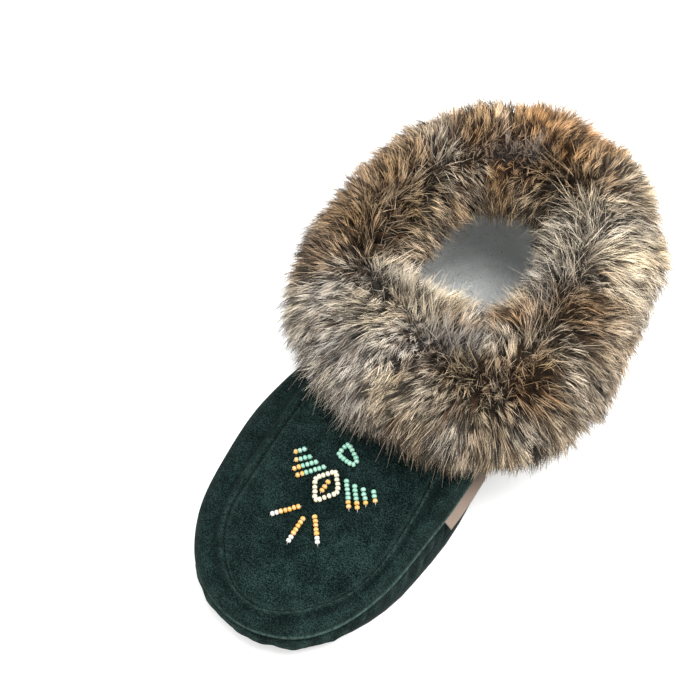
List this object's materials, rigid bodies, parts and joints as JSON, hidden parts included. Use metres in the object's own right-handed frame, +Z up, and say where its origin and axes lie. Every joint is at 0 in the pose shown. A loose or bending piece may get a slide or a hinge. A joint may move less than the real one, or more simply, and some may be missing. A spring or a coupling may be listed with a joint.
{
  "type": "moccasin slipper",
  "caption": "Soft suede moccasin slipper with a puffed band round a flat vamp, beaded vamp motif, fleece inside and a deep fur roll round the collar.",
  "frame": {"origin": "on the ground, on the sole's bottom face under the middle of the heel seat", "axes": "-Y to the toe, +Y to the heel, +X to the outer (little toe) side, +Z up"},
  "size_m": [0.1575, 0.2819, 0.1057],
  "materials": {
    "outsole_rubber": "matt dark green-black rubber",
    "suede": "dark forest-green suede with a soft mottled nap",
    "fleece": "short grey-white fleece",
    "fur": "deep brown, tan and silver-grey fur with dark tips",
    "cloth": "plain pinkish-beige woven cloth",
    "mint_glass": "glossy opaque mint glass, amber at the wings' outer ends",
    "amber_glass": "glossy opaque amber glass, white at the rays' outer ends",
    "ivory_glass": "glossy opaque ivory glass"
  },
  "bodies": {
    "root": {"sole": "outsole_rubber", "upper": "suede", "plug": "suede", "insole": "fleece", "fur_cuff": "fur", "side_tab": "cloth", "beads_head": "mint_glass", "beads_diamond": "ivory_glass", "beads_eye": "amber_glass", "beads_tail_middle": "amber_glass", "beads_tail_side_outer": "amber_glass", "beads_tail_side_inner": "amber_glass", "beads_wing_1_outer": "mint_glass", "beads_wing_1_inner": "mint_glass", "beads_wing_2_outer": "mint_glass", "beads_wing_2_inner": "mint_glass", "beads_wing_3_outer": "mint_glass", "beads_wing_3_inner": "mint_glass", "beads_wing_4_outer": "mint_glass", "beads_wing_4_inner": "mint_glass"}
  },
  "joints": []
}
